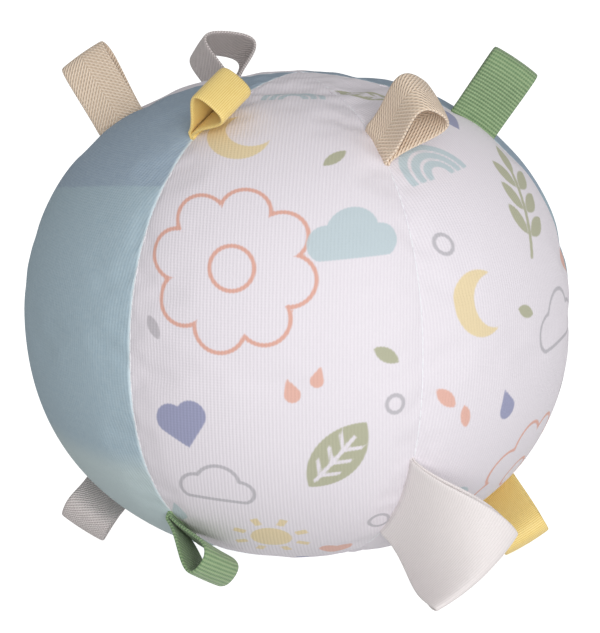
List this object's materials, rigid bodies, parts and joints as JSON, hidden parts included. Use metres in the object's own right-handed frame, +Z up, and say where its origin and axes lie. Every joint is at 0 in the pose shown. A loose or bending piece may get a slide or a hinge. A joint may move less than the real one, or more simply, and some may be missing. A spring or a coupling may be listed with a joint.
{
  "type": "soft activity ball",
  "caption": "Soft stuffed fabric ball of sewn gores with tape loops and a folded label in its seams, for a baby to grip and roll; a rattle sits inside.",
  "frame": {"origin": "centre of the ball", "axes": "+Z up along the axis that the seams meet on, +X through the third seam, so the pictured side faces -Y"},
  "size_m": [0.1284, 0.13, 0.1203],
  "materials": {
    "cover_print": "off-white cotton interlock knit with a scattered print",
    "cover_blue": "brushed cotton knit in three blocks of blue",
    "filling": "loose polyester fibre",
    "seam_thread": "polyester sewing thread",
    "tape_yellow": "ribbed cotton tape",
    "tape_cream": "herringbone cotton tape",
    "tape_green": "grosgrain tape",
    "tape_grey": "twill cotton tape",
    "label_satin": "blank woven satin label",
    "rattle_shell": "moulded polypropylene",
    "rattle_bead": "moulded polystyrene"
  },
  "bodies": {
    "ball": {"gore_1_print": "cover_print", "gore_2_print": "cover_print", "gore_3_blue": "cover_blue", "gore_4_print": "cover_print", "gore_5_print": "cover_print", "gore_6_blue": "cover_blue", "seam_thread_1": "seam_thread", "seam_thread_2": "seam_thread", "seam_thread_3": "seam_thread", "seam_thread_4": "seam_thread", "seam_thread_5": "seam_thread", "seam_thread_6": "seam_thread", "filling_upper": "filling", "filling_lower": "filling", "rattle_shell_lower": "rattle_shell", "rattle_shell_upper": "rattle_shell"},
    "tag_top_1_yellow": {"tag_top_1_yellow": "tape_yellow"},
    "tag_top_2_cream": {"tag_top_2_cream": "tape_cream"},
    "tag_top_3_green": {"tag_top_3_green": "tape_green"},
    "tag_top_4_yellow": {"tag_top_4_yellow": "tape_yellow"},
    "tag_top_5_grey": {"tag_top_5_grey": "tape_grey"},
    "tag_top_6_cream": {"tag_top_6_cream": "tape_cream"},
    "tag_bottom_1_green": {"tag_bottom_1_green": "tape_green"},
    "tag_bottom_3_yellow": {"tag_bottom_3_yellow": "tape_yellow"},
    "tag_bottom_4_cream": {"tag_bottom_4_cream": "tape_cream"},
    "tag_bottom_5_yellow": {"tag_bottom_5_yellow": "tape_yellow"},
    "tag_bottom_6_grey": {"tag_bottom_6_grey": "tape_grey"},
    "folded_label": {"folded_label": "label_satin"},
    "bead_1": {"rattle_bead_1": "rattle_bead"},
    "bead_2": {"rattle_bead_2": "rattle_bead"},
    "bead_3": {"rattle_bead_3": "rattle_bead"},
    "bead_4": {"rattle_bead_4": "rattle_bead"},
    "bead_5": {"rattle_bead_5": "rattle_bead"}
  },
  "joints": [
    {"name": "tag_top_1_yellow_flop", "type": "hinge", "parent": "ball", "child": "tag_top_1_yellow", "pos_m": [-0.01807, -0.0313, 0.04981], "axis": [-0.4442, -0.7695, -0.4589], "range_deg": [-4, 96], "stiffness_Nm_per_rad": 0.0002},
    {"name": "tag_top_2_cream_flop", "type": "hinge", "parent": "ball", "child": "tag_top_2_cream", "pos_m": [0.02134, -0.03696, 0.04582], "axis": [0.4102, -0.7105, -0.5717], "range_deg": [-19, 85], "stiffness_Nm_per_rad": 0.0002},
    {"name": "tag_top_3_green_flop", "type": "hinge", "parent": "ball", "child": "tag_top_3_green", "pos_m": [0.04177, 0, 0.04644], "axis": [0.8315, 0, -0.5555], "range_deg": [-60, 60], "stiffness_Nm_per_rad": 0.0002},
    {"name": "tag_top_4_yellow_flop", "type": "hinge", "parent": "ball", "child": "tag_top_4_yellow", "pos_m": [0.02666, 0.04618, 0.03599], "axis": [0.3177, 0.5502, -0.7722], "range_deg": [-6, 114], "stiffness_Nm_per_rad": 0.0002},
    {"name": "tag_top_5_grey_flop", "type": "hinge", "parent": "ball", "child": "tag_top_5_grey", "pos_m": [-0.02089, 0.03618, 0.04644], "axis": [-0.4157, 0.7201, -0.5555], "range_deg": [-54, 38], "stiffness_Nm_per_rad": 0.0002},
    {"name": "tag_top_6_cream_flop", "type": "hinge", "parent": "ball", "child": "tag_top_6_cream", "pos_m": [-0.04268, 0, 0.04582], "axis": [-0.8205, 0, -0.5717], "range_deg": [-88, 32], "stiffness_Nm_per_rad": 0.0002},
    {"name": "tag_bottom_1_green_flop", "type": "hinge", "parent": "ball", "child": "tag_bottom_1_green", "pos_m": [-0.02332, -0.04039, -0.04277], "axis": [0.3826, 0.6626, -0.6439], "range_deg": [-2, 122], "stiffness_Nm_per_rad": 0.0002},
    {"name": "tag_bottom_3_yellow_flop", "type": "hinge", "parent": "ball", "child": "tag_bottom_3_yellow", "pos_m": [0.04706, 0, -0.0424], "axis": [-0.7584, 0, -0.6518], "range_deg": [-98, 10], "stiffness_Nm_per_rad": 0.0002},
    {"name": "tag_bottom_4_cream_flop", "type": "hinge", "parent": "ball", "child": "tag_bottom_4_cream", "pos_m": [0.02476, 0.04289, -0.04013], "axis": [-0.3578, -0.6197, -0.6985], "range_deg": [-38, 82], "stiffness_Nm_per_rad": 0.0002},
    {"name": "tag_bottom_5_yellow_flop", "type": "hinge", "parent": "ball", "child": "tag_bottom_5_yellow", "pos_m": [-0.02476, 0.04289, -0.04013], "axis": [0.3578, -0.6197, -0.6985], "range_deg": [-78, 42], "stiffness_Nm_per_rad": 0.0002},
    {"name": "tag_bottom_6_grey_flop", "type": "hinge", "parent": "ball", "child": "tag_bottom_6_grey", "pos_m": [-0.04534, 0, -0.04383], "axis": [0.7846, 0, -0.62], "range_deg": [-6, 106], "stiffness_Nm_per_rad": 0.0002},
    {"name": "folded_label_flop", "type": "hinge", "parent": "ball", "child": "folded_label", "pos_m": [0.02761, -0.04782, -0.03318], "axis": [-0.2911, 0.5042, -0.813], "range_deg": [-26, 74], "stiffness_Nm_per_rad": 0.0004},
    {"name": "bead_1_travel", "type": "slide", "parent": "ball", "child": "bead_1", "axis": [0, 0, 1], "range_m": [0, 0.02]},
    {"name": "bead_2_travel", "type": "slide", "parent": "ball", "child": "bead_2", "axis": [0, 0, 1], "range_m": [0, 0.016]},
    {"name": "bead_3_travel", "type": "slide", "parent": "ball", "child": "bead_3", "axis": [0, 0, 1], "range_m": [0, 0.016]},
    {"name": "bead_4_travel", "type": "slide", "parent": "ball", "child": "bead_4", "axis": [0, 0, 1], "range_m": [0, 0.016]},
    {"name": "bead_5_travel", "type": "slide", "parent": "ball", "child": "bead_5", "axis": [0, 0, 1], "range_m": [0, 0.016]}
  ]
}
